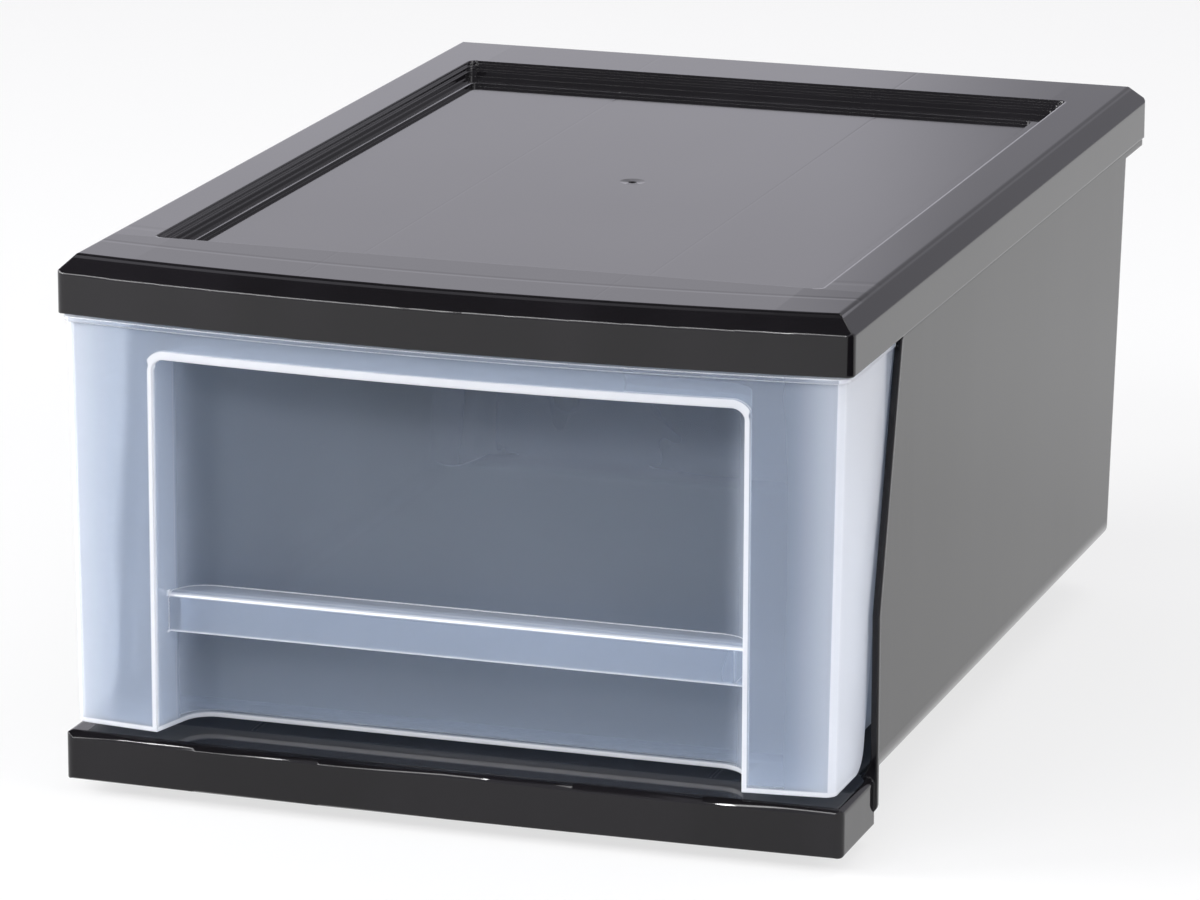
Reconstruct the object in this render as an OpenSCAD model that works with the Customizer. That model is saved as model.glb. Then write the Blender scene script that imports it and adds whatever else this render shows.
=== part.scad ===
// Stackable drawer box: a black case body with a clipped-on top cover, and a milky drawer.
// X is the width, the drawer opens along -Y, Z is up. The origin is on the surface that the
// stacking foot stands on, under the middle of the outline.

/* [Overall size] */
// Width over the rim band
case_w = 300; // [280:1:330]
// Depth from the rim's front corners to its back
case_d = 430; // [400:1:470]
// Height from the stacking foot to the top of the rim
case_h = 203; // [190:0.5:240]
// How far the rim's front bows forward of its corners
rim_bow = 11; // [7:0.5:13]

/* [Top cover] */
// Height of the upright band round the cover
band_h = 15; // [12:0.5:18]
// Width and height of the chamfer above the band
rim_chamfer = 6.5; // [5:0.5:8]
// Plan radius of the rim's corners
rim_corner_r = 4; // [3:0.5:6]
// Wall thickness of the cover
cover_t = 2.2; // [1.8:0.1:2.6]
// Width of the frame beside the stacking recess
frame_side = 23; // [21:1:27]
// Width of the frame in front of the stacking recess
frame_front = 39; // [34:1:46]
// Width of the frame behind the stacking recess
frame_back = 43; // [38:1:50]
// Depth of the stacking recess, and height of the foot that nests in it
recess_depth = 6.2; // [5.2:0.2:6.6]

/* [Case body] */
// Wall thickness of the case body
wall_t = 1.8; // [1.6:0.1:2.2]
// Step from the rim band in to the side wall
wall_inset = 0.8; // [0.6:0.1:1.2]
// Height of the tub's underside above the sill's underside
underside_rise = 14; // [11:0.5:15]
// Radius of the long lower edges
lower_edge_r = 12; // [9:0.5:16]
// Radius of the upright rear corners
rear_corner_r = 24; // [18:1:28]
// Lean of the back wall, in degrees
back_rake = 6.8; // [4:0.2:8]
// Gap between the rim's back and the back wall at its top
back_inset = 10; // [8:1:14]
// Height of the sill in front of the drawer's lower edge
sill_h = 18.2; // [16.5:0.1:20]
// Thickness of the flange round the mouth
flange_t = 2.2; // [1.8:0.1:2.6]

/* [Drawer] */
// Wall thickness of the drawer
drawer_t = 2; // [1.8:0.1:2.4]
// Gap between the sill and the drawer above it
sill_gap = 3.3; // [2.5:0.1:4.5]
// How far the drawer front bows forward of its corners
front_bow = 9.5; // [6:0.5:10]
// Depth of the window recess behind the front's corners
recess_y = 21; // [19:0.5:24]
// Half width of the window
window_half = 105; // [92:0.5:107]
// Height of the band above the window
top_band = 12.5; // [10:0.5:16]
// Height of the handle's lower edge above the drawer's lower edge
handle_up = 36.6; // [32:0.2:44]
// Height of the handle from its lower edge to its top
handle_h = 15.1; // [13:0.1:18]
// How far the drawer pulls out before its stop
travel = 298; // [240:1:300]

/* [Hidden] */

black = "#1d1c1f";
milky = "#cfdbe6";
milky_alpha = 0.6;

// Resolution of the long bows and of small rounded corners
bow_fn = 360;
corner_fn = 48;
// Overlap of joined shapes, overshoot of cuts, and the smallest inner corner
eps = 0.2;
cut = 30;
least_r = 0.6;
// How far a bow's corner arcs reach past it, so that the two cross cleanly
crossing = 0.02;

// Levels of the case
foot_h = recess_depth;
sill_top = foot_h + sill_h;
tub_z = foot_h + underside_rise;
band_top = case_h - rim_chamfer;
band_z = band_top - band_h;
seat_gap = 0.2;
shelf_top = band_z - seat_gap;
shelf_t = 2.8;
panel_z = case_h - recess_depth;
panel_t = 2;
frame_under = case_h - cover_t;

// Softened edges of the rim
band_foot_r = 0.4;
rim_edge_r = 1.2;

// Plan of the case body
tub_half = case_w / 2 - wall_inset;
tub_back = case_d - back_inset;
mouth_y = 38.5;
mouth_knee = 85;
mouth_lean = 14.3;
flange_low = foot_h + 4.5;
flange_corner_r = 3.5;
shelf_corner_r = 3;

// Sill
sill_half = case_w / 2 - 1.3;
sill_front = -2.2;
sill_bow = 2;
sill_edge_r = 2.6;
sill_foot_r = 0.8;
sill_corner_r = 4;
sill_wall = 2.2;
sill_ribs = 6;
rib_t = 1.6;
rib_rise = 1;

// Tongue of the body inside the cover's band, and the snaps between the two
tongue_gap = 0.8;
tongue_half = case_w / 2 - cover_t - tongue_gap;
tongue_back = case_d - cover_t - tongue_gap;
tongue_h = 8.2;
tooth_out = 0.6;
ridge_in = 0.55;
snap_len = 30;
snap_h = 2.2;
snap_step = 0.3;
tooth_z = shelf_top + tongue_h - snap_h - 1;
side_snaps = [120, 215, 310, 395];
back_snaps = [-95, 0, 95];

// Stacking foot and the ribs inside it
foot_half = case_w / 2 - 38.5;
foot_front = 52;
foot_back = case_d - 80;
foot_t = 2.4;
foot_r = 14;
foot_rib_rows = 4;
foot_rib_h = 4.2;
foot_rib_x = foot_half / 3;

// Runner ribs on the floor, with the drawer's guide fins beside them
runner_x = 92;
runner_t = 3;
runner_gap = 0.2;
runner_front = 43;
runner_ramp = 4;
fin_t = 1.5;
fin_h = 1.6;
fin_gap = 1;

// Front of the drawer
drawer_z = sill_top + sill_gap;
drawer_top = band_z - 0.8;
floor_z = drawer_z + 1.9;
runner_top = floor_z - runner_gap;
front_y = 1;
front_half_top = case_w / 2 - 3.1;
front_taper = 2.1;
front_half_low = front_half_top - front_taper;
front_tilt = atan(front_taper / (drawer_top - drawer_z));
front_corner_r = 4.5;
lip_out = 1.3;
lip_t = 1.8;
lip_end = mouth_y + (drawer_top - mouth_knee) * tan(mouth_lean) - lip_t;

// Slanted rear edge of the side returns
return_y = 36.5;
return_lean = 10.4;
return_corner_r = 10;

// Window recess
window_y = front_y + recess_y;
window_splay = 15;
window_fillet = 11;
window_top = drawer_top - top_band;
window_corner_r = 5;

// Bin behind the front
bin_t = 1.8;
bin_half = case_w / 2 - 11;
bin_back = tub_back - 18;
bin_edge_r = 9;
bin_corner_r = 24;
bin_flange = 5;
tab_half = 22;
tab_t = 6;
tab_rise = 8.5;

// Handle ledge across the window
handle_z = drawer_z + handle_up;
handle_top = handle_z + handle_h;
handle_y = 5;
handle_slope = 1.6;
handle_r = 2.5;
handle_end_r = 3;
handle_bite = 1.2;

// What hangs from the underside of the cover
rail_x = bin_half + 2.5;
rail_t = 2;
rail_gap = 1;
rail_front = 72;
rail_back = case_d - 44;
stop_t = 2.4;
stop_half = 110;
stop_gap = 1.8;
stop_y = bin_back - tab_t - travel - 0.6;

// Steps of the recess wall: share of the depth, then inset at the sides and front, and at the back
steps = [[0, 0, 0], [0.2, 1.2, 4.5], [0.42, 2.6, 8.5], [0.77, 8.5, 21.5]];
step_r = 3;
gate_r = 1.6;
gate_depth = 0.9;
gate_dish_r = 5;
gate_dish = 0.4;

// Middle of the outline from front to back
mid_y = (case_d - rim_bow) / 2;
module in_frame() translate([0, -mid_y, 0]) children();

// ---- Ways to draw ----

// A plan outline drawn upwards between two heights
module rise(z_low, z_high) translate([0, 0, z_low]) linear_extrude(z_high - z_low) children();

// A side outline (Y, Z) drawn across the width
module across(half) rotate([90, 0, 90]) linear_extrude(2 * half, center = true) children();

// A front outline (X, Z) drawn from one depth back to another
module deep(y_low, y_high) translate([0, y_high, 0]) rotate([90, 0, 0])
    linear_extrude(y_high - y_low) children();

// Rectangle from one side to the other, between two depths or heights
module span(half, low, high) translate([-half, low]) square([2 * half, high - low]);

// Both tangent points and the centre of an arc of radius r in the corner at b
function fillet(a, b, c, r) =
    let (u = (a - b) / norm(a - b), v = (c - b) / norm(c - b), half = acos(u * v) / 2)
    [b + u * r / tan(half), b + v * r / tan(half), b + (u + v) / norm(u + v) * r / sin(half)];

// Convex polygon with each corner rounded to its own radius, 0 for a sharp one
module soft_polygon(points, radii) {
    n = len(points);
    arcs = [for (i = [0:n - 1]) fillet(points[(i + n - 1) % n], points[i], points[(i + 1) % n], radii[i])];
    polygon([for (i = [0:n - 1]) each radii[i] > 0 ? [arcs[i][0], arcs[i][1]] : [points[i]]]);
    for (i = [0:n - 1]) if (radii[i] > 0) translate(arcs[i][2]) circle(radii[i], $fn = corner_fn);
}

// Rectangle about x = 0 with its low and high corners rounded
module soft_span(half, low, high, r_low, r_high)
    soft_polygon([[-half, low], [half, low], [half, high], [-half, high]], [r_low, r_low, r_high, r_high]);

// Radius of a bow over a width, and the depth of its axis when its corners are at y = 0
function bow_r(half, bow) = (half * half + bow * bow) / (2 * bow);
function bow_y(half, bow) = bow_r(half, bow) - bow;

// Plan outline with straight sides and back, a bowed front and rounded corners
module bowed(half, depth, bow, corner_r, inset = 0) {
    r = max(corner_r, inset + least_r);
    axis = [0, bow_y(half, bow)];
    big_r = bow_r(half, bow);
    corner = [half - r, axis[1] - sqrt(pow(big_r - r, 2) - pow(half - r, 2))];
    touch = axis + (corner - axis) * (big_r - inset) / (big_r - r);
    low = corner[1] - crossing;
    side = half - inset;
    back = depth - inset;
    polygon([[-side, low], [-touch[0], touch[1]], touch, [side, low],
        [side, depth - r], [half - r, back], [r - half, back], [-side, depth - r]]);
    for (x = [r - half, half - r], y = [low, depth - r])
        translate([x, y]) circle(r - inset, $fn = corner_fn);
    intersection() {
        translate(axis) circle(big_r - inset, $fn = bow_fn);
        translate([-touch[0], touch[1] - 2 * bow]) square([2 * touch[0], 2 * bow + eps]);
    }
}

// A profile (distance, Z) turned about the axis of a bow, so that its edge follows the bow
module along_bow(half, bow) translate([0, bow_y(half, bow), 0]) rotate_extrude($fn = bow_fn) children();

// Side view with a leaning back and a rounded lower rear edge; y_back is measured at z_ref
module raked_side(y_low, y_back, z_low, z_high, z_ref, r) {
    at_low = y_back - (z_ref - z_low) * tan(back_rake);
    at_high = y_back - (z_ref - z_high) * tan(back_rake);
    soft_polygon([[y_low, z_low], [at_low, z_low], [at_high, z_high], [y_low, z_high]], [0, r, 0, 0]);
}

// Closed form of a tub: rounded below, with a leaning back between rounded corners
module tub(half, y_low, y_back, z_low, z_high, z_ref, edge_r, corner_r) {
    reach = cut + (y_back - y_low) * tan(back_rake);
    intersection() {
        deep(y_low, y_back + cut) soft_span(half, z_low, z_high, edge_r, 0);
        translate([0, y_back, z_ref]) rotate([-back_rake, 0, 0])
            rise(z_low - z_ref - reach, z_high - z_ref + reach)
                translate([0, -y_back]) soft_span(half + eps, y_low - 2 * reach, y_back, 0, corner_r);
        across(half + 2 * eps) raked_side(y_low - eps, y_back, z_low, z_high, z_ref, edge_r);
    }
}

// Side view of all that lies behind the mouth, moved back by shift
module behind_mouth(shift = 0) {
    far = case_d + cut;
    top_y = mouth_y + (case_h - mouth_knee) * tan(mouth_lean);
    polygon([[mouth_y + shift, -cut], [mouth_y + shift, mouth_knee], [top_y + shift, case_h],
        [far, case_h], [far, -cut]]);
}

// ---- Case body ----

module tub_shell() {
    difference() {
        intersection() {
            tub(tub_half, 0, tub_back, tub_z, shelf_top, shelf_top, lower_edge_r, rear_corner_r);
            across(case_w) behind_mouth(eps);
        }
        tub(tub_half - wall_t, -cut, tub_back - wall_t, tub_z + wall_t, case_h, shelf_top,
            lower_edge_r - wall_t, rear_corner_r - wall_t);
    }
}

// Flange round the mouth, closed below the sill's top
module mouth_flange() {
    intersection() {
        across(case_w) difference() {
            behind_mouth();
            behind_mouth(flange_t);
        }
        deep(0, case_d) difference() {
            soft_span(case_w / 2, flange_low, shelf_top, flange_corner_r, 0);
            intersection() {
                soft_span(tub_half - wall_t, tub_z + wall_t, case_h, lower_edge_r - wall_t, 0);
                span(case_w, sill_top, case_h);
            }
        }
    }
}

// Closed form of the sill, with softened upper edges
module sill_form() {
    far = mouth_y + 3 * sill_corner_r;
    r = bow_r(sill_half, sill_bow);
    translate([0, sill_front, 0]) intersection() {
        rise(foot_h, sill_top) bowed(sill_half, far, sill_bow, sill_corner_r);
        deep(-cut, far) soft_span(sill_half, foot_h, sill_top, sill_foot_r, sill_edge_r);
        along_bow(sill_half, sill_bow)
            soft_polygon([[0, foot_h], [r, foot_h], [r, sill_top], [0, sill_top]], [0, sill_foot_r, sill_edge_r, 0]);
    }
}

module sill() {
    pitch = 2 * sill_half / (sill_ribs + 1);
    difference() {
        intersection() {
            sill_form();
            rise(0, case_h) span(case_w, -cut, mouth_y + flange_t / 2);
        }
        rise(-cut, sill_top - sill_wall) intersection() {
            translate([0, sill_front]) bowed(sill_half, case_d, sill_bow, sill_corner_r, sill_wall);
            span(case_w, -cut, mouth_y);
        }
    }
    for (i = [1:sill_ribs]) rise(foot_h + rib_rise, sill_top - sill_wall / 2)
        translate([i * pitch - sill_half, 0]) span(rib_t / 2, 0, mouth_y + eps);
}

// Shelf that the cover's band sits on, and the tongue that stands up inside the band
module shelf_and_tongue() {
    intersection() {
        union() {
            rise(shelf_top - shelf_t, shelf_top) difference() {
                bowed(case_w / 2, case_d, rim_bow, shelf_corner_r + wall_inset, wall_inset);
                soft_span(tub_half - wall_t, -cut, tub_back - wall_t, 0, rear_corner_r);
            }
            rise(shelf_top - eps, shelf_top + tongue_h) difference() {
                span(tongue_half, 0, tongue_back);
                span(tongue_half - wall_t, -cut, tongue_back - wall_t);
            }
        }
        across(case_w) behind_mouth();
    }
    depth = tooth_out + eps;
    for (side = [-1, 1], y = side_snaps) translate([side * (tongue_half - eps + depth / 2), y, tooth_z])
        cube([depth, snap_len, snap_h], center = true);
    for (x = back_snaps) translate([x, tongue_back - eps + depth / 2, tooth_z])
        cube([snap_len, depth, snap_h], center = true);
}

// Foot that nests in the recess of the box below, with ribs across it
module stacking_foot() {
    pitch = (foot_back - foot_front) / (foot_rib_rows + 1);
    into_floor = tub_z + wall_t / 2;
    rise(0, into_floor) difference() {
        soft_span(foot_half, foot_front, foot_back, foot_r, foot_r);
        soft_span(foot_half - foot_t, foot_front + foot_t, foot_back - foot_t, foot_r - foot_t, foot_r - foot_t);
    }
    for (i = [1:foot_rib_rows]) rise(tub_z - foot_rib_h, into_floor) translate([0, foot_front + i * pitch])
        span(foot_half - foot_t / 2, -rib_t / 2, rib_t / 2);
    for (side = [-1, 1]) rise(tub_z - foot_rib_h, into_floor) translate([side * foot_rib_x, 0])
        span(rib_t / 2, foot_front + foot_t / 2, foot_back - foot_t / 2);
}

// Runner ribs that carry the drawer's floor, with a ramp at each end
module runners() {
    base = tub_z + wall_t / 2;
    back = tub_back - (shelf_top - tub_z) * tan(back_rake) - lower_edge_r;
    for (side = [-1, 1]) translate([side * runner_x, 0, 0]) across(runner_t / 2)
        polygon([[runner_front, base], [runner_front, runner_top - runner_ramp / 2],
            [runner_front + runner_ramp, runner_top], [back - runner_ramp, runner_top],
            [back, runner_top - runner_ramp], [back, base]]);
}

module case_body() {
    color(black) in_frame() {
        tub_shell();
        mouth_flange();
        sill();
        shelf_and_tongue();
        stacking_foot();
        runners();
    }
}

// ---- Top cover ----

// Edge profile of the rim, from a far point out to its edge at reach
module rim_profile(far, reach)
    soft_polygon([[far, band_z], [reach, band_z], [reach, band_top], [reach - rim_chamfer, case_h], [far, case_h]],
        [0, band_foot_r, rim_edge_r, rim_edge_r, 0]);

// Profile of the hollow under it, one wall thickness inside
module hollow_profile(far, reach) {
    inner = reach - cover_t;
    turn = cover_t * tan(45 / 2);
    low = band_z - cut;
    polygon([[far, low], [inner, low], [inner, band_top - turn],
        [reach - rim_chamfer - turn, frame_under], [far, frame_under]]);
}

module cover_skin() {
    half = case_w / 2;
    difference() {
        intersection() {
            rise(band_z, case_h) bowed(half, case_d, rim_bow, rim_corner_r);
            deep(-cut, case_d + cut) intersection() {
                rim_profile(-2 * half, half);
                mirror([1, 0]) rim_profile(-2 * half, half);
            }
            across(2 * half) rim_profile(-cut, case_d);
            along_bow(half, rim_bow) rim_profile(0, bow_r(half, rim_bow));
        }
        intersection() {
            deep(-cut, case_d + cut) intersection() {
                hollow_profile(-2 * half, half);
                mirror([1, 0]) hollow_profile(-2 * half, half);
            }
            across(2 * half) hollow_profile(-cut, case_d);
            along_bow(half, rim_bow) hollow_profile(0, bow_r(half, rim_bow));
        }
    }
}

// Outline of one step of the recess, grown by t
module recess_plan(step, t = 0)
    soft_span(case_w / 2 - frame_side - step[1] + t, frame_front + step[1] - t,
        case_d - frame_back - step[2] + t, step_r + t, step_r + t);

// Level of the top of a step; past the last one it is the panel
function step_level(i) = i < len(steps) ? case_h - recess_depth * steps[i][0] : panel_z;

module recess_tray() {
    for (i = [0:len(steps) - 1])
        rise(step_level(i + 1) - panel_t, step_level(i) - panel_t / 2) recess_plan(steps[i], panel_t);
}

module recess_pocket() {
    for (i = [0:len(steps) - 1]) rise(step_level(i + 1), case_h + cut) recess_plan(steps[i]);
}

// Mark of the moulding gate: a shallow dish with a small pit
module gate_mark() {
    middle = (frame_front + case_d - frame_back) / 2;
    ball_r = (gate_dish_r * gate_dish_r + gate_dish * gate_dish) / (2 * gate_dish);
    translate([0, middle, panel_z - gate_dish + ball_r]) sphere(ball_r, $fn = 96);
    translate([0, middle, panel_z - gate_depth]) cylinder(r = gate_r, h = cut, $fn = corner_fn);
}

// Ridges inside the band that snap under the body's teeth
module snap_ridges() {
    depth = ridge_in + eps;
    z = tooth_z - snap_h - snap_step;
    for (side = [-1, 1], y = side_snaps) translate([side * (case_w / 2 - cover_t + eps - depth / 2), y, z])
        cube([depth, snap_len, snap_h], center = true);
    for (x = back_snaps) translate([x, case_d - cover_t + eps - depth / 2, z])
        cube([snap_len, depth, snap_h], center = true);
}

// Rails that keep the open drawer from tipping, and the rib that stops it
module drawer_keepers() {
    for (side = [-1, 1]) rise(drawer_top + rail_gap, frame_under + eps)
        translate([side * rail_x, 0]) span(rail_t / 2, rail_front, rail_back);
    rise(drawer_top + stop_gap, panel_z - panel_t / 2) span(stop_half, stop_y - stop_t, stop_y);
}

module top_cover() {
    color(black) in_frame() difference() {
        union() {
            cover_skin();
            recess_tray();
            snap_ridges();
            drawer_keepers();
        }
        recess_pocket();
        gate_mark();
    }
}

// ---- Drawer ----

// Plan of the drawer front, without an end at the back
module front_plan(half, inset) translate([0, front_y])
    bowed(half, case_d, front_bow, front_corner_r, inset);

// Side view of the front: leaning rear edge and rounded lower rear corner
module return_side(inset, z_high) {
    low = drawer_z + inset;
    slack = inset / cos(return_lean);
    edge = function (z) return_y + (z - drawer_z) * tan(return_lean) - slack;
    soft_polygon([[-2 * cut, low], [edge(low), low], [edge(z_high), z_high], [-2 * cut, z_high]],
        [0, return_corner_r - inset, 0, 0]);
}

// Closed form of the front, whose sides lean slightly outwards; inset moves every face inwards
module front_form(inset, z_high) {
    for (side = [0, 1]) mirror([side, 0, 0]) intersection() {
        translate([0, 0, drawer_z]) rotate([0, front_tilt, 0]) rise(-cut, case_h)
            front_plan(front_half_low, inset);
        across(case_w) return_side(inset, z_high);
        translate([0, -2 * cut, 0]) cube([case_w, case_d, case_h + cut]);
    }
}

// Half width of the recess at a depth, grown by t
function recess_x(y, t) = window_half + (window_y - y) * tan(window_splay) + t / cos(window_splay);

// Space of the window recess, grown by t on every side
module window_space(t) {
    back = window_y + t;
    mouth = recess_x(front_y - front_bow / 2, t);
    intersection() {
        rise(drawer_z - cut, window_top + t)
            soft_polygon([[-recess_x(-cut, t), -cut], [recess_x(-cut, t), -cut],
                [recess_x(back, t), back], [-recess_x(back, t), back]], [0, 0, window_fillet + t, window_fillet + t]);
        deep(-2 * cut, back + eps) soft_span(mouth, -cut, window_top + t, 0, window_corner_r + t);
    }
}

// Closed form of the bin; inset moves every face inwards
module bin_form(inset, z_high) {
    tub(bin_half - inset, window_y + inset, bin_back - inset, floor_z + inset, z_high, drawer_top,
        bin_edge_r - inset, bin_corner_r - inset);
}

// Sheet of even thickness round the front and the bin, with the recess pressed into it
module drawer_sheet() {
    difference() {
        union() {
            front_form(0, drawer_top);
            bin_form(0, drawer_top);
            top_lip();
        }
        difference() {
            union() {
                front_form(drawer_t, case_h);
                bin_form(bin_t, case_h);
            }
            window_space(drawer_t);
        }
        window_space(0);
    }
}

// Lip along the top edge: narrow round the front, wider round the bin where it runs under the rails
module top_lip() {
    rise(drawer_top - lip_t, drawer_top) {
        intersection() {
            front_plan(front_half_top, -lip_out);
            span(case_w, -cut, lip_end);
        }
        soft_span(bin_half + bin_flange, lip_end - 2 * bin_corner_r, bin_back + bin_flange, 0,
            bin_corner_r + bin_flange);
    }
}

// Side view of the handle at a thickness below its skin; open below where it runs past its lower edge
module handle_side(inset, low) {
    far = window_y + inset + eps;
    soft_polygon([[far, low], [handle_y + inset, low], [handle_y + inset, handle_top - inset],
        [far, handle_top - handle_slope - inset]], [0, 0, max(handle_r - inset, least_r), 0]);
}

// Hooded ledge across the window: top, hanging lip and closed ends
module handle() {
    half = recess_x(handle_y, 0);
    intersection() {
        difference() {
            across(half + handle_bite) handle_side(0, handle_z);
            across(half - 2 * drawer_t) handle_side(drawer_t, handle_z - cut);
        }
        window_space(handle_bite);
        deep(0, window_y + handle_bite) soft_span(half + handle_bite, handle_z - cut, handle_top, 0, handle_end_r);
    }
}

// Tab on the rear wall that meets the cover's stop rib
module stop_tab() {
    translate([-tab_half, bin_back - tab_t, drawer_top - lip_t])
        cube([2 * tab_half, tab_t, tab_rise + lip_t]);
}

// Fins under the floor that run beside the runner ribs
module guide_fins() {
    inner = runner_x - runner_t / 2 - fin_gap - fin_t;
    back = bin_back - (drawer_top - floor_z) * tan(back_rake) - bin_edge_r;
    for (side = [-1, 1]) rise(floor_z - fin_h, floor_z + eps)
        translate([side * (inner + fin_t / 2), 0]) span(fin_t / 2, window_y + drawer_t / 2, back);
}

module drawer() {
    color(milky, milky_alpha) in_frame() {
        drawer_sheet();
        handle();
        stop_tab();
        guide_fins();
    }
}

case_body();
top_cover();
drawer();
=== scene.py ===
"""Finishes, stage and camera for the stackable drawer box: glossy black case and cover, milky drawer."""

import math

import bpy
from mathutils import Matrix, Vector


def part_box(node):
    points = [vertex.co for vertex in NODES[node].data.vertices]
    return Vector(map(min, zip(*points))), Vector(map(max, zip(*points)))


bl_info = {
    "name": "Stackable drawer box",
    "version": (1, 0, 0),
    "blender": (4, 5, 0),
    "location": "3D View > Sidebar > Drawer box",
    "description": "Finishes of a stackable box with one milky drawer, with its stage and camera",
    "category": "Object",
}

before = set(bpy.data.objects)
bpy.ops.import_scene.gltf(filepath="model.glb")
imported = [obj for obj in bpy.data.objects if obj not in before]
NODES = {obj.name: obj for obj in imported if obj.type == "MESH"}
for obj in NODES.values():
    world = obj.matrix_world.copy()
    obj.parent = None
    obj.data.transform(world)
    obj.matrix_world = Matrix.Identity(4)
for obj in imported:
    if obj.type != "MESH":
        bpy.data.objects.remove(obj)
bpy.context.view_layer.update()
MM = 0.001

# Lowest and highest corners of the mouldings, in metres
COVER_LOW, COVER_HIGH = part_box("top_cover")
CASE_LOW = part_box("case_body")[0]
DRAWER_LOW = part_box("drawer")[0]


# ---- Shader expressions ----


class Value:
    """A socket of a shader that takes part in arithmetic; each operator adds a Math node."""

    def __init__(self, finish, socket):
        self.finish = finish
        self.socket = socket

    def _math(self, operation, *values):
        return self.finish.add("ShaderNodeMath", {"operation": operation}, dict(enumerate(values))).out(0)

    def __add__(self, other):
        return self._math("ADD", self, other)

    __radd__ = __add__

    def __sub__(self, other):
        return self._math("SUBTRACT", self, other)

    def __rsub__(self, other):
        return self._math("SUBTRACT", other, self)

    def __mul__(self, other):
        return self._math("MULTIPLY", self, other)

    __rmul__ = __mul__

    def __pow__(self, other):
        return self._math("POWER", self, other)

    def __abs__(self):
        return self._math("ABSOLUTE", self)

    def lower(self, other):
        return self._math("MINIMUM", self, other)

    def higher(self, other):
        return self._math("MAXIMUM", self, other)


class Placed:
    """A node that has been added, with its outputs by name or number."""

    def __init__(self, finish, node):
        self.finish = finish
        self.node = node

    def out(self, name):
        return Value(self.finish, self.node.outputs[name])


class Finish:
    """A material or world that is being put together from nodes."""

    def __init__(self, owner):
        self.owner = owner
        owner.use_nodes = True
        self.tree = owner.node_tree
        self.tree.nodes.clear()

    def add(self, kind, settings=None, inputs=None):
        """A node of one kind, with its settings and then the values or links of its sockets."""
        node = self.tree.nodes.new(kind)
        for name, value in (settings or {}).items():
            setattr(node, name, value)
        for name, value in (inputs or {}).items():
            if isinstance(value, Value):
                self.tree.links.new(value.socket, node.inputs[name])
            else:
                node.inputs[name].default_value = value
        return Placed(self, node)

    def split(self, vector):
        """The three parts of a vector."""
        parts = self.add("ShaderNodeSeparateXYZ", None, {0: vector})
        return parts.out(0), parts.out(1), parts.out(2)

    def stretched(self, where, scale):
        """A position scaled by its own amount along each axis."""
        return self.add("ShaderNodeVectorMath", {"operation": "MULTIPLY"}, {0: where, 1: scale}).out(0)

    def noise(self, where, scale, detail=2.0):
        inputs = {"Vector": where, "Scale": scale, "Detail": detail}
        return self.add("ShaderNodeTexNoise", None, inputs).out(0)

    def streaks(self, where, repeats):
        """Noise with its own number of repeats per metre along each axis."""
        return self.noise(self.stretched(where, repeats), 1.0)

    def step(self, value, low, high, out_low=0.0, out_high=1.0):
        """A soft step from out_low to out_high as the value goes from low to high."""
        inputs = {"Value": value, "From Min": low, "From Max": high, "To Min": out_low, "To Max": out_high}
        return self.add("ShaderNodeMapRange", {"interpolation_type": "SMOOTHSTEP"}, inputs).out(0)

    def band(self, value, start, first, last, end):
        """1 from first to last, falling softly to 0 at start and end."""
        return self.step(value, start, first) * self.step(value, end, last)

    def line(self, distance, width):
        """1 on a line and 0 from half a width away from it."""
        return self.step(abs(distance), 0.0, width / 2, 1.0, 0.0)

    def blend(self, factor, first, second):
        """A colour between two, by a factor from 0 to 1."""
        settings = {"data_type": "RGBA", "clamp_factor": True}
        return self.add("ShaderNodeMix", settings, {0: factor, 6: first, 7: second}).out(2)

    def blend_vectors(self, factor, first, second):
        """A vector between two, by a factor from 0 to 1."""
        settings = {"data_type": "VECTOR", "factor_mode": "UNIFORM"}
        return self.add("ShaderNodeMix", settings, {0: factor, 4: first, 5: second}).out(1)

    def mix(self, factor, first, second):
        """A shader between two, by a factor from 0 to 1."""
        return self.add("ShaderNodeMixShader", None, {0: factor, 1: first, 2: second}).out(0)

    def bevel(self, samples, radius):
        """Normal of the surface with its small edges rounded."""
        return self.add("ShaderNodeBevel", {"samples": samples}, {"Radius": radius}).out(0)

    def bump(self, height, normal=None):
        """Normal of the surface with a height in metres laid over it."""
        inputs = {"Strength": 1.0, "Distance": 1.0, "Height": height}
        if normal:
            inputs["Normal"] = normal
        return self.add("ShaderNodeBump", None, inputs).out(0)

    def finish_with(self, shader):
        """Leads a shader to the output and gives back the finished material or world."""
        is_world = isinstance(self.owner, bpy.types.World)
        kind = "ShaderNodeOutputWorld" if is_world else "ShaderNodeOutputMaterial"
        self.add(kind, None, {"Surface": shader})
        return self.owner


class Surface(Finish):
    """A material, with the position on its object in metres."""

    def __init__(self, name):
        super().__init__(bpy.data.materials.new(name))
        self.where = self.add("ShaderNodeTexCoord").out("Object")
        self.x, self.y, self.z = self.split(self.where)
        self.off_centre = abs(self.x)


def solid(colour):
    return (*colour[:3], 1.0)


def dress(node, material):
    """Gives a carried-over moulding its material."""
    mesh = NODES[node].data
    if not mesh.materials:
        mesh.materials.append(material)
    for index in range(len(mesh.materials)):
        mesh.materials[index] = material


# ---- Black mouldings ----


# A range holds two values: where a mask starts, and where it is full. A band holds four: where it
# starts, where it is first and last full, and where it ends.

# Stacking recess in the cover: half width and front edge of its mouth
RECESS_HALF = COVER_HIGH.x - 29.6 * MM
RECESS_FRONT = -170.5 * MM

# Ranges that take in the recess's steps: off centre, front to back, and up from the cover's foot
STEPS_ACROSS = (RECESS_HALF + 4 * MM, RECESS_HALF + 3 * MM)
STEPS_ALONG = (183 * MM, 182 * MM)
COVER_RANGE = (COVER_LOW.z, COVER_LOW.z + MM)

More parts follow.
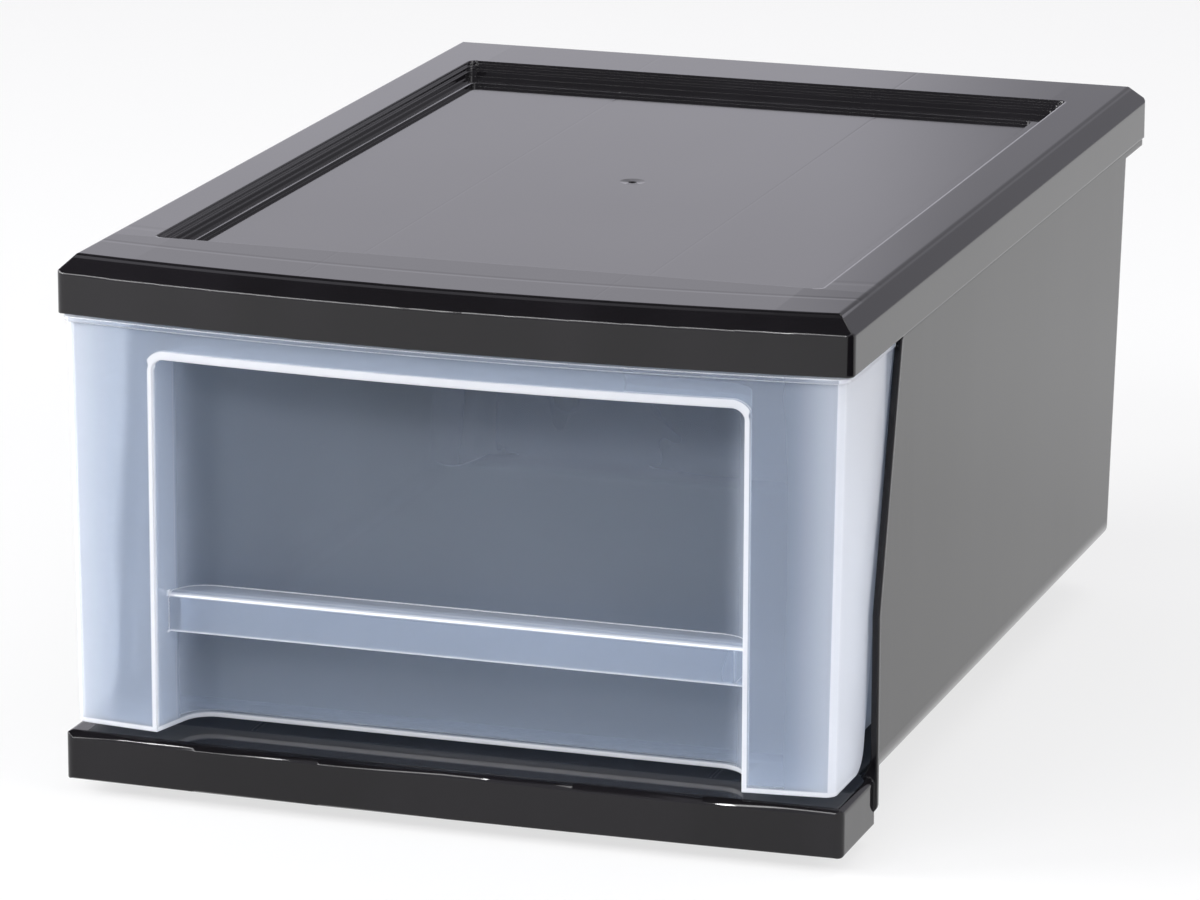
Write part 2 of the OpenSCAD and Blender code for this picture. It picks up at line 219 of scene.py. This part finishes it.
# Levels of the cover's upright band and of the flat frame on top
BAND_RANGE = (COVER_HIGH.z - 5 * MM, COVER_HIGH.z - 7 * MM)
FRAME_RANGE = (COVER_HIGH.z - 1.5 * MM, COVER_HIGH.z - 0.5 * MM)

# Place of the case's mouth, where the polished sill gives way to the satin walls
MOUTH_Y = CASE_LOW.y + 42.7 * MM
WALL_RANGE = (MOUTH_Y - 4 * MM, MOUTH_Y + 4 * MM)

# Flow lines on both sides of the gate, and their width
WELD_X = 55 * MM
WELD_WIDTH = 1.4 * MM

# Sink lines on the front frame: place of the first on the centreline, way back to the second, their
# widths, and their bend, as metres that they run back per square metre of width
SINK_Y = -191.5 * MM
SINK_GAP = 24 * MM
SINK_WIDTH = 5 * MM
SECOND_SINK_WIDTH = 8 * MM
SINK_BEND = 0.5

# Repeats per metre of the patterns: one number for an even one, three for streaks
MOTTLE = 9.0
WAVE = 6.0
SCUFFS = (40.0, 400.0, 60.0)
FLOW = (18.0, 2.2, 5.0)
WALL_STREAKS = (6.0, 60.0, 3.0)

# Where in its noise a scuff or a flow streak starts and is full
SCUFF_RANGE = (0.66, 0.8)
FLOW_RANGE = (0.42, 0.62)

# Added roughness of a scuff and of the cover's band
SCUFF_ROUGHNESS = 0.02
BAND_ROUGHNESS = 0.03

# Share of the full depth or height that the second sink line, the flow lines and the wall streaks have
SECOND_SINK_SHARE = 0.6
WELD_SHARE = 0.3
WALL_SHARE = 0.12

# Samples for the rounding of the common edges and of the recess's steps
EDGE_SAMPLES = 12
STEP_SAMPLES = 4


def rounded_edges(s, look):
    """Rounded small edges, with a smaller radius on the steps of the stacking recess."""
    soft = s.bevel(EDGE_SAMPLES, look.edge_radius)
    crisp = s.bevel(STEP_SAMPLES, look.step_radius)
    in_recess = s.step(s.off_centre, *STEPS_ACROSS) * s.step(abs(s.y), *STEPS_ALONG)
    return s.blend_vectors(in_recess * s.step(s.z, *COVER_RANGE), soft, crisp)


def black_finish(name, look, ior, rough, height):
    """Black polypropylene; rough and height are functions of the surface."""
    s = Surface(name)
    mottle = (s.noise(s.where, MOTTLE, detail=3.0) - 0.5) * look.roughness_spread
    scuffs = s.step(s.streaks(s.where, SCUFFS), *SCUFF_RANGE) * SCUFF_ROUGHNESS
    wave = s.noise(s.where, WAVE, detail=1.0) * look.waviness
    flow = s.step(s.streaks(s.where, FLOW), *FLOW_RANGE)
    shader = s.add(
        "ShaderNodeBsdfPrincipled",
        None,
        {
            "Base Color": s.blend(flow, solid(look.colour), solid(look.flow_colour)),
            "Roughness": rough(s) + mottle + scuffs,
            "IOR": ior,
            "Normal": s.bump(height(s) + wave, rounded_edges(s, look)),
        },
    )
    return s.finish_with(shader.out(0))


class BlackLook(bpy.types.PropertyGroup):
    """Colour and gloss of the black mouldings."""

    colour: bpy.props.FloatVectorProperty(
        name="Colour", description="Colour of the black plastic", default=(0.0045, 0.0040, 0.0048),
        size=3, min=0.0, max=1.0, subtype="COLOR",
    )
    flow_colour: bpy.props.FloatVectorProperty(
        name="Flow colour", description="Slightly lighter black in the flow streaks",
        default=(0.0065, 0.0058, 0.0070), size=3, min=0.0, max=1.0, subtype="COLOR",
    )
    gloss: bpy.props.FloatProperty(
        name="Gloss roughness", description="Roughness of the polished faces", default=0.05,
        min=0.0, max=1.0, subtype="FACTOR",
    )
    satin: bpy.props.FloatProperty(
        name="Satin roughness", description="Roughness of the side and rear walls", default=0.16,
        min=0.0, max=1.0, subtype="FACTOR",
    )
    roughness_spread: bpy.props.FloatProperty(
        name="Roughness spread", description="How much the gloss varies from place to place", default=0.03,
        min=0.0, max=0.3, subtype="FACTOR",
    )
    waviness: bpy.props.FloatProperty(
        name="Waviness", description="Height of the slow waves left by shrinkage", default=0.00035,
        min=0.0, max=0.002, unit="LENGTH",
    )
    sink_depth: bpy.props.FloatProperty(
        name="Sink marks", description="Depth of the marks over the ribs", default=0.00006,
        min=0.0, max=0.001, unit="LENGTH",
    )
    crown: bpy.props.FloatProperty(
        name="Crown", description="Slope of the frame beside and before the recess, falling outwards",
        default=0.024, min=0.0, max=0.1,
    )
    edge_radius: bpy.props.FloatProperty(
        name="Edge softening", description="Radius of the small edges", default=0.0011,
        min=0.0, max=0.003, unit="LENGTH",
    )
    ior: bpy.props.FloatProperty(
        name="Cover's index", description="Index of refraction, how strongly the cover mirrors", default=1.44,
        min=1.0, max=2.0,
    )
    step_radius: bpy.props.FloatProperty(
        name="Step softening", description="Radius of the steps in the stacking recess", default=0.0003,
        min=0.0, max=0.003, unit="LENGTH",
    )
    body_ior: bpy.props.FloatProperty(
        name="Body's index", description="Index of refraction, how strongly the body mirrors", default=1.39,
        min=1.0, max=2.0,
    )


class DRAWERBOX_OT_case_body(bpy.types.Operator):
    """Finish the case body: satin walls, polished sill"""

    bl_idname = "drawerbox.case_body"
    bl_label = "Case body"

    def execute(self, context):
        look = context.scene.drawerbox_black

        def rough(s):
            return s.step(s.y, *WALL_RANGE) * (look.satin - look.gloss) + look.gloss

        def height(s):
            return s.streaks(s.where, WALL_STREAKS) * (look.waviness * WALL_SHARE)

        dress("case_body", black_finish("black_body", look, look.body_ior, rough, height))
        return {"FINISHED"}


class DRAWERBOX_OT_top_cover(bpy.types.Operator):
    """Finish the top cover: polished, with sink marks over its ribs"""

    bl_idname = "drawerbox.top_cover"
    bl_label = "Top cover"

    def execute(self, context):
        look = context.scene.drawerbox_black

        def rough(s):
            return s.step(s.z, *BAND_RANGE) * BAND_ROUGHNESS + look.gloss

        def height(s):
            front = s.y - s.x * s.x * SINK_BEND - SINK_Y
            sink = s.line(front, SINK_WIDTH) + s.line(front - SINK_GAP, SECOND_SINK_WIDTH) * SECOND_SINK_SHARE
            beside = (s.off_centre - RECESS_HALF).higher(0.0)
            before = (RECESS_FRONT - s.y).higher(0.0)
            fall = sink * look.sink_depth + (beside + before) * look.crown
            weld = s.line(s.off_centre - WELD_X, WELD_WIDTH) * look.sink_depth * WELD_SHARE
            return -1 * fall * s.step(s.z, *FRAME_RANGE) - weld

        dress("top_cover", black_finish("black_cover", look, look.ior, rough, height))
        return {"FINISHED"}


# ---- Milky drawer ----


class MilkyLook(bpy.types.PropertyGroup):
    """Colour and clearness of the drawer."""

    colour: bpy.props.FloatVectorProperty(
        name="Colour", description="Colour of the milky plastic", default=(0.58, 0.66, 0.79),
        size=3, min=0.0, max=1.0, subtype="COLOR",
    )
    # Colour of the thicker-looking milk, also used for the painted highlights and the painted sheen
    thick_and_highlight_colour: bpy.props.FloatVectorProperty(
        name="Edge colour", description="Colour along bends and edges, where the wall looks thicker",
        default=(0.89, 0.90, 0.92), size=3, min=0.0, max=1.0, subtype="COLOR",
    )
    window_opacity: bpy.props.FloatProperty(
        name="Window opacity", description="How much the window hides", default=0.16,
        min=0.0, max=1.0, subtype="FACTOR",
    )
    wall_opacity: bpy.props.FloatProperty(
        name="Wall opacity", description="How much the posts and the bin hide", default=0.3,
        min=0.0, max=1.0, subtype="FACTOR",
    )
    slant_opacity: bpy.props.FloatProperty(
        name="Slant opacity", description="What a slanting view adds", default=0.45,
        min=0.0, max=1.0, subtype="FACTOR",
    )
    edge_opacity: bpy.props.FloatProperty(
        name="Edge opacity", description="How much bends, rims and edges hide", default=0.96,
        min=0.0, max=1.0, subtype="FACTOR",
    )
    return_opacity: bpy.props.FloatProperty(
        name="Return opacity", description="How much the front's side returns hide", default=0.9,
        min=0.0, max=1.0, subtype="FACTOR",
    )
    # Painted sheen, partly the thicker milk: how much the posts are whitened towards their outer corners
    outer_milk_and_sheen: bpy.props.FloatProperty(
        name="Outer milk", description="How much whiter the posts are towards their outer corners",
        default=0.42, min=0.0, max=1.0, subtype="FACTOR",
    )
    rim_width: bpy.props.FloatProperty(
        name="Rim width", description="Width of the bright rim round the window", default=0.0022,
        min=0.0005, max=0.006, unit="LENGTH",
    )
    frost: bpy.props.FloatProperty(
        name="Frost", description="Roughness of the surface", default=0.24,
        min=0.0, max=1.0, subtype="FACTOR",
    )
    edge_width: bpy.props.FloatProperty(
        name="Edge width", description="Width of the bright line along an edge", default=0.0010,
        min=0.0001, max=0.005, unit="LENGTH",
    )


# Front skin of the drawer: its place at the sides, how far its middle bows forward, and its half width
FRONT_Y = -208.5 * MM
FRONT_BOW = 9.5 * MM
FRONT_HALF = 147 * MM

# How far behind the bowed front the skin, the side returns and the rounded corners reach
SKIN_DEPTH = (3.2 * MM, 1.8 * MM)
RETURN_DEPTH = (60 * MM, 50 * MM)
CORNER_DEPTH = (10 * MM, 8 * MM)

# Level of the drawer's lip, just under the cover's band
DRAWER_LIP = COVER_HIGH.z - 22.3 * MM

# Mouth of the window recess in the front skin: half width, upper edge and corner radius
WINDOW_HALF = 111.8 * MM
WINDOW_TOP = DRAWER_LIP - 12.5 * MM
WINDOW_R = 5 * MM

# Rim round that mouth, drawn as a painted highlight: how far inside it the rim starts, how softly it ends,
# how much wider it gets at the top, and the levels between which it widens
RIM_START = (-0.9 * MM, -0.2 * MM)
RIM_FADE = 0.8 * MM
RIM_WIDENING = 1.4 * MM
RIM_LEVELS = (WINDOW_TOP - 3 * MM, WINDOW_TOP)

# Pane at the back of the recess: its place, its band from front to back, and its range off centre
PANE_Y = -187.5 * MM
PANE_BAND = (PANE_Y - 14 * MM, PANE_Y - 11 * MM, PANE_Y + 3 * MM, PANE_Y + 4 * MM)
PANE_ACROSS = (110.5 * MM, 109 * MM)

# Crease in the recess's side walls, drawn as a painted highlight line: its place, its width, and its band off
# centre
CREASE_Y = PANE_Y - 13 * MM
CREASE_WIDTH = 1.6 * MM
CREASE_BAND = (104 * MM, 106 * MM, 113 * MM, 115 * MM)

# Lower edge of the posts and the pane, drawn as a painted highlight line: its levels, and how far back it
# reaches
FOOT_LEVELS = (DRAWER_LOW.z + 2.4 * MM, DRAWER_LOW.z + 1.4 * MM)
FOOT_BACK = (PANE_Y + 8 * MM, PANE_Y + 6 * MM)

# Handle, with painted highlight lines on its edges: its front and the depth that counts as front, its ends,
# the level and width of the line on its lower edge, and the band of levels on its upper edge
HANDLE_Y = -204.5 * MM
HANDLE_DEPTH = 5 * MM
HANDLE_ENDS = (WINDOW_HALF + MM, WINDOW_HALF)
HANDLE_LOW = DRAWER_LOW.z + 36.6 * MM
HANDLE_LINE = 2.6 * MM
HANDLE_TOP = HANDLE_LOW + 15.1 * MM
HANDLE_BAND = (HANDLE_TOP - 2.6 * MM, HANDLE_TOP - 1.4 * MM, HANDLE_TOP + 0.4 * MM, HANDLE_TOP + 0.6 * MM)

# Distance off centre of the drawer's sides and of the posts' outer part
SIDE_RANGE = (130 * MM, 140 * MM)
OUTER_RANGE = (125 * MM, 144 * MM)

# How far a face has to look sideways to count as a side return, how far it has to stand between the
# front and the side to count as a corner, and how far an edge has to turn to count as one
RETURN_RANGE = (0.7, 0.92)
CORNER_RANGE = (0.32, 0.44)
TURN_RANGE = (0.97, 0.85)

# Share of the full whiteness that corners, creases, slanting faces and side returns have; at corners and
# creases it is a painted highlight
CORNER_SHARE = 0.85
CREASE_SHARE = 0.5
SLANT_SHARE = 0.9
RETURN_SHARE = 0.92

# How much of the outer milk and painted sheen also hides, and how much the clouds in the plastic hide and
# roughen
OUTER_HIDES = 0.6
CLOUD_HIDES = 0.06
CLOUD_ROUGHENS = 0.08

# Repeats per metre and heights of the frosting and of the ripples, and repeats of the clouds
FROST = 900.0
FROST_HEIGHT = 0.0005 * MM
RIPPLE = (5.0, 5.0, 24.0)
RIPPLE_HEIGHT = 0.03 * MM
CLOUD = 14.0

# Tint of the clear part of the plastic, index of the frosted skin, and share of the milk that lets
# light through
CLEAR_COLOUR = (0.92, 0.95, 0.98)
MILKY_IOR = 1.49
GLOW_SHARE = 0.5

# Samples for rounding the drawer's edges, and how soon a slanting face counts as one
MILKY_SAMPLES = 6
SLANT_BLEND = 0.35


def front_depth(s):
    """How far a place lies behind the bowed front skin."""
    return s.y - (s.x * s.x * (FRONT_BOW / FRONT_HALF**2) + (FRONT_Y - FRONT_BOW))


def window_pane(s):
    """The pane behind the recess, between its two corner fillets."""
    return s.band(s.y, *PANE_BAND) * s.step(s.off_centre, *PANE_ACROSS)


def side_crease(s):
    """The upright crease in each side wall of the recess, where a highlight line is painted."""
    return s.line(s.y - CREASE_Y, CREASE_WIDTH) * s.band(s.off_centre, *CREASE_BAND)


def window_rim(s, width):
    """The rim round the window's mouth, wider along its top, where a highlight is painted."""
    past_side = (s.off_centre - (WINDOW_HALF - WINDOW_R)).higher(0.0)
    past_top = (s.z - (WINDOW_TOP - WINDOW_R)).higher(0.0)
    outside = (past_side * past_side + past_top * past_top) ** 0.5 - WINDOW_R
    widening = s.step(s.z, *RIM_LEVELS) * RIM_WIDENING
    return s.step(outside, *RIM_START) * s.step(outside - widening, width, width - RIM_FADE)


def lower_edge(s):
    """The lower edge of the posts and of the pane, where a highlight line is painted."""
    return s.step(s.z, *FOOT_LEVELS) * s.step(s.y, *FOOT_BACK)


def handle_edges(s):
    """The upper and lower edge of the handle's front, where highlight lines are painted."""
    on_handle = s.step(s.off_centre, *HANDLE_ENDS) * s.line(s.y - HANDLE_Y, HANDLE_DEPTH)
    upper = s.band(s.z, *HANDLE_BAND)
    lower = s.line(s.z - HANDLE_LOW, HANDLE_LINE)
    return upper.higher(lower) * on_handle


def milky_finish(look):
    """Frosted polypropylene, clearer in the window and whiter where more of it is looked through, with
    painted highlights along its edges and a painted sheen towards the posts' outer corners.
    """
    s = Surface("milky_plastic")
    depth = front_depth(s)
    on_skin = s.step(depth, *SKIN_DEPTH)
    slant = s.add("ShaderNodeLayerWeight", None, {"Blend": SLANT_BLEND}).out("Facing")
    cloud = s.noise(s.where, CLOUD, detail=3.0) - 0.5

    # Side returns, rounded upright corners and turned edges
    plain = s.add("ShaderNodeNewGeometry").out("Normal")
    normal_x, normal_y, _ = s.split(plain)
    beside = s.step(s.off_centre, *SIDE_RANGE)
    returns = s.step(abs(normal_x), *RETURN_RANGE) * beside * s.step(depth, *RETURN_DEPTH)
    corner = s.step(abs(normal_x * normal_y), *CORNER_RANGE) * beside * s.step(depth, *CORNER_DEPTH)
    rounded = s.bevel(MILKY_SAMPLES, look.edge_width)
    turn = s.add("ShaderNodeVectorMath", {"operation": "DOT_PRODUCT"}, {0: rounded, 1: plain}).out("Value")

    # All that shows as a white line: painted highlights along the rim, edges, handle, corners and creases,
    # where the wall also looks thicker
    lines = (window_rim(s, look.rim_width) * on_skin).higher(lower_edge(s)).higher(handle_edges(s))
    lines = lines.higher(corner * CORNER_SHARE).higher(side_crease(s) * CREASE_SHARE)
    lines = lines.higher(s.step(turn, *TURN_RANGE))
    # Posts whitened towards their outer corners: partly the thicker milk there, partly a painted sheen
    outer = s.step(s.off_centre, *OUTER_RANGE) * on_skin * look.outer_milk_and_sheen

    opacity = window_pane(s) * (look.window_opacity - look.wall_opacity) + look.wall_opacity
    opacity = opacity + slant * look.slant_opacity + cloud * CLOUD_HIDES
    opacity = opacity.higher(returns * look.return_opacity).higher(lines * look.edge_opacity)
    opacity = opacity + outer * OUTER_HIDES
    # Whiteness: the thicker look of slanting faces and side returns, plus the painted highlights and painted
    # sheen
    white = (slant * SLANT_SHARE + outer).higher(returns * RETURN_SHARE).higher(lines).lower(1.0)

    relief = s.noise(s.where, FROST) * FROST_HEIGHT + s.streaks(s.where, RIPPLE) * RIPPLE_HEIGHT
    normal = s.bump(relief, rounded)
    skin = s.add(
        "ShaderNodeBsdfPrincipled",
        None,
        {
            "Base Color": s.blend(white, solid(look.colour), solid(look.thick_and_highlight_colour)),
            "Roughness": cloud * CLOUD_ROUGHENS + look.frost,
            "IOR": MILKY_IOR,
            "Normal": normal,
        },
    )
    milky_glow, white_glow = (
        s.add("ShaderNodeBsdfTranslucent", None, {"Color": solid(colour), "Normal": normal}).out(0)
        for colour in (look.colour, look.thick_and_highlight_colour)
    )
    # The painted highlights and sheen also whiten the light that the milk lets through
    milk = s.mix(GLOW_SHARE, skin.out(0), s.mix(white, milky_glow, white_glow))
    clear = s.add("ShaderNodeBsdfTransparent", None, {"Color": solid(CLEAR_COLOUR)}).out(0)
    return s.finish_with(s.mix(opacity.lower(1.0), clear, milk))


class DRAWERBOX_OT_drawer(bpy.types.Operator):
    """Finish the drawer: frosted, clearer in the window, with painted highlights along its edges"""

    bl_idname = "drawerbox.drawer"
    bl_label = "Drawer"

    def execute(self, context):
        dress("drawer", milky_finish(context.scene.drawerbox_milky))
        return {"FINISHED"}


# ---- Stage ----


class StudioLook(bpy.types.PropertyGroup):
    """Floor, surround and lamps."""

    floor_colour: bpy.props.FloatVectorProperty(
        name="Floor", description="Colour of the floor", default=(0.78, 0.78, 0.78),
        size=3, min=0.0, max=1.0, subtype="COLOR",
    )
    floor_lift: bpy.props.FloatProperty(
        name="Floor lift", description="How far the floor is lifted to white where it is seen or mirrored",
        default=0.7, min=0.0, max=1.0, subtype="FACTOR",
    )
    floor_size: bpy.props.FloatProperty(
        name="Floor size", description="Length of the floor's side", default=16.0, min=2.0, max=60.0,
        unit="LENGTH",
    )
    surround_colour: bpy.props.FloatVectorProperty(
        name="Surround", description="Colour of the surround", default=(0.925, 0.91, 1.0),
        size=3, min=0.0, max=1.0, subtype="COLOR",
    )
    horizon: bpy.props.FloatProperty(
        name="Horizon", description="Brightness of the surround at eye level", default=0.97, min=0.0, max=2.0,
    )
    corner_shade: bpy.props.FloatProperty(
        name="Dim corner", description="How much darker the surround is behind the box on the right",
        default=0.42, min=0.0, max=1.0, subtype="FACTOR",
    )
    zenith: bpy.props.FloatProperty(
        name="Overhead", description="Brightness of the surround overhead", default=0.12, min=0.0, max=2.0,
    )
    key_power: bpy.props.FloatProperty(
        name="Strip lamp", description="Power of the long lamp in front", default=50.0, min=0.0, max=1000.0,
        unit="POWER",
    )
    top_power: bpy.props.FloatProperty(
        name="Top lamp", description="Power of the soft lamp overhead", default=15.0, min=0.0, max=1000.0,
        unit="POWER",
    )
    fill_power: bpy.props.FloatProperty(
        name="Side lamps", description="Power of the right soft lamp, on which the left one's is based",
        default=26.0, min=0.0, max=1000.0, unit="POWER",
    )
    left_share: bpy.props.FloatProperty(
        name="Left share", description="Power of the left lamp against the right one", default=2.6,
        min=0.0, max=5.0,
    )
    gloss_power: bpy.props.FloatProperty(
        name="Gloss lamp", description="Power of the lamp that only the gloss mirrors", default=420.0,
        min=0.0, max=2000.0, unit="POWER",
    )
    flag_low: bpy.props.FloatVectorProperty(
        name="Black card's near corner", description="Corner of the card that only gloss mirrors",
        default=(0.55, -0.8), size=2, unit="LENGTH",
    )
    flag_high: bpy.props.FloatVectorProperty(
        name="Black card's far corner", description="Opposite corner of that card",
        default=(1.2, 0.05), size=2, unit="LENGTH",
    )
    azimuth: bpy.props.FloatProperty(
        name="Camera azimuth", description="Turn of the camera round the box", default=math.radians(18.26),
        subtype="ANGLE",
    )
    elevation: bpy.props.FloatProperty(
        name="Camera elevation", description="Camera's angle above the horizon", default=math.radians(14.72),
        subtype="ANGLE",
    )
    roll: bpy.props.FloatProperty(
        name="Camera roll", description="Tilt of the camera about its own axis", default=math.radians(0.18),
        subtype="ANGLE",
    )
    lens: bpy.props.FloatProperty(
        name="Lens", description="Focal length on a 36 mm sensor", default=195.42, min=20.0, max=400.0,
    )


# Camera: its place and nearest and farthest view in metres, and its sensor's width in millimetres
CAMERA_PLACE = Vector((0.7547, -2.3227, 0.7326))
CLIP_RANGE = (0.05, 100.0)
SENSOR_WIDTH = 36.0

# Lamps: place, point that the lamp faces, and width and height, in metres
LAMPS = {
    "strip_lamp": ((-0.9, -2.4, 1.85), (0, 0, 0.1), (2.4, 0.6)),
    "gloss_lamp": ((-0.9, -2.4, 1.85), (0, 0, 0.1), (2.8, 0.5)),
    "top_lamp": ((0.8, 0.8, 2.1), (0, 0, 0.2), (1.3, 1.2)),
    "right_lamp": ((2.3, -0.7, 1.3), (0, -0.1, 0.1), (1.2, 1.2)),
    "left_lamp": ((-2.3, -0.9, 1.2), (0, -0.1, 0.1), (1.2, 1.2)),
}

# Parts of a direction, out of 1: the height over which the surround darkens, and how far left and how
# far back the dim corner starts and is full
DARKENING = (0.42, 0.85)
DIM_ACROSS = (-0.275, -0.235)
DIM_BEHIND = (0.1, 0.5)

# The floor's paper: repeats of its grain per metre and their height, and its roughness and index
PAPER_GRAIN = 300.0
PAPER_RELIEF = 0.02 * MM
PAPER_ROUGHNESS = 0.9
PAPER_IOR = 1.2

WHITE = (1.0, 1.0, 1.0)
BLACK = (0.0, 0.0, 0.0)


def level_sheet(name, near, far, level, material):
    """A level rectangle between two opposite corners."""
    (left, front), (right, back) = near, far
    corners = [(left, front, level), (right, front, level), (right, back, level), (left, back, level)]
    mesh = bpy.data.meshes.new(name)
    mesh.from_pydata(corners, [], [(0, 1, 2, 3)])
    mesh.materials.append(material)
    sheet = bpy.data.objects.new(name, mesh)
    bpy.context.scene.collection.objects.link(sheet)
    return sheet


def hide_from_rays(thing, *rays):
    """Keeps a lamp or a sheet from being met by some kinds of ray."""
    for ray in rays:
        setattr(thing, "visible_" + ray, False)


def paper_finish(look):
    """Matt paper, lifted towards white where it is seen or mirrored, so that it keeps its shadow."""
    s = Surface("floor_paper")
    paper = s.add(
        "ShaderNodeBsdfPrincipled",
        None,
        {
            "Base Color": solid(look.floor_colour),
            "Roughness": PAPER_ROUGHNESS,
            "IOR": PAPER_IOR,
            "Normal": s.bump(s.noise(s.where, PAPER_GRAIN) * PAPER_RELIEF),
        },
    )
    white = s.add("ShaderNodeEmission", None, {"Color": solid(WHITE), "Strength": 1.0})
    ray = s.add("ShaderNodeLightPath")
    seen = ray.out("Is Camera Ray") + ray.out("Is Glossy Ray") + ray.out("Is Transmission Ray")
    return s.finish_with(s.mix(seen.lower(1.0) * look.floor_lift, paper.out(0), white.out(0)))


def add_floor(look):
    side = look.floor_size / 2
    floor = level_sheet("floor", (-side, -side), (side, side), 0, paper_finish(look))


def add_surround(look):
    f = Finish(bpy.data.worlds.new("studio"))
    across, depth, height = f.split(f.add("ShaderNodeTexCoord").out("Generated"))
    level = f.step(height, *DARKENING, look.horizon, look.zenith)
    dim_corner = f.step(across, *DIM_ACROSS) * f.step(depth, *DIM_BEHIND)
    level = level * (1 - dim_corner * look.corner_shade)
    shader = f.add("ShaderNodeBackground", None, {"Color": solid(look.surround_colour), "Strength": level})
    bpy.context.scene.world = f.finish_with(shader.out(0))


def add_lamp(name, power):
    place, aim, size = LAMPS[name]
    data = bpy.data.lights.new(name, "AREA")
    data.shape = "RECTANGLE"
    data.size, data.size_y = size
    data.energy = power
    lamp = bpy.data.objects.new(name, data)
    bpy.context.scene.collection.objects.link(lamp)
    lamp.location = place
    lamp.rotation_euler = (Vector(aim) - Vector(place)).to_track_quat("-Z", "Y").to_euler()
    return lamp


def add_flag(look):
    """Black card just over the floor that only gloss mirrors."""
    f = Finish(bpy.data.materials.new("flag_cloth"))
    cloth = f.finish_with(f.add("ShaderNodeBsdfDiffuse", None, {"Color": solid(BLACK)}).out(0))
    flag = level_sheet("flag", look.flag_low, look.flag_high, MM, cloth)
    hide_from_rays(flag, "camera", "diffuse", "transmission", "volume_scatter", "shadow")


def add_camera(look):
    turn, tilt, roll = look.azimuth, look.elevation, look.roll
    ahead = Vector((-math.sin(turn) * math.cos(tilt), math.cos(turn) * math.cos(tilt), -math.sin(tilt)))
    level = Vector((math.cos(turn), math.sin(turn), 0))
    upright = level.cross(ahead)
    right = level * math.cos(roll) + upright * math.sin(roll)
    up = upright * math.cos(roll) - level * math.sin(roll)
    data = bpy.data.cameras.new("camera")
    data.sensor_width = SENSOR_WIDTH
    data.lens = look.lens
    data.clip_start, data.clip_end = CLIP_RANGE
    camera = bpy.data.objects.new("camera", data)
    bpy.context.scene.collection.objects.link(camera)
    camera.matrix_world = Matrix.Translation(CAMERA_PLACE) @ Matrix((right, up, -ahead)).transposed().to_4x4()
    bpy.context.scene.camera = camera


class DRAWERBOX_OT_stage(bpy.types.Operator):
    """Set up the floor, the soft surround, the lamps and the camera"""

    bl_idname = "drawerbox.stage"
    bl_label = "Stage"

    def execute(self, context):
        look = context.scene.drawerbox_studio
        add_floor(look)
        add_surround(look)
        add_lamp("strip_lamp", look.key_power)
        hide_from_rays(add_lamp("gloss_lamp", look.gloss_power), "diffuse", "transmission")
        add_lamp("top_lamp", look.top_power)
        add_lamp("right_lamp", look.fill_power)
        add_lamp("left_lamp", look.fill_power * look.left_share)
        add_flag(look)
        add_camera(look)
        context.scene.view_settings.view_transform = "Standard"
        return {"FINISHED"}


class DRAWERBOX_PT_panel(bpy.types.Panel):
    """Looks of the drawer box"""

    bl_idname = "DRAWERBOX_PT_panel"
    bl_label = "Drawer box"
    bl_space_type = "VIEW_3D"
    bl_region_type = "UI"
    bl_category = "Drawer box"

    def draw(self, context):
        layout = self.layout
        for title, (settings_name, group) in LOOKS.items():
            box = layout.box()
            box.label(text=title)
            settings = getattr(context.scene, settings_name)
            for name in group.__annotations__:
                box.prop(settings, name)
        for operator in OPERATORS:
            layout.operator(operator.bl_idname)


LOOKS = {
    "Black plastic": ("drawerbox_black", BlackLook),
    "Milky plastic": ("drawerbox_milky", MilkyLook),
    "Studio": ("drawerbox_studio", StudioLook),
}
OPERATORS = (DRAWERBOX_OT_stage, DRAWERBOX_OT_case_body, DRAWERBOX_OT_top_cover, DRAWERBOX_OT_drawer)
CLASSES = (BlackLook, MilkyLook, StudioLook, *OPERATORS, DRAWERBOX_PT_panel)


def register():
    for cls in CLASSES:
        bpy.utils.register_class(cls)
    for name, group in LOOKS.values():
        setattr(bpy.types.Scene, name, bpy.props.PointerProperty(type=group))


def unregister():
    for name, _ in LOOKS.values():
        delattr(bpy.types.Scene, name)
    for cls in reversed(CLASSES):
        bpy.utils.unregister_class(cls)


def main():
    register()
    bpy.ops.drawerbox.stage()
    bpy.ops.drawerbox.case_body()
    bpy.ops.drawerbox.top_cover()
    bpy.ops.drawerbox.drawer()


if __name__ == "__main__":
    main()
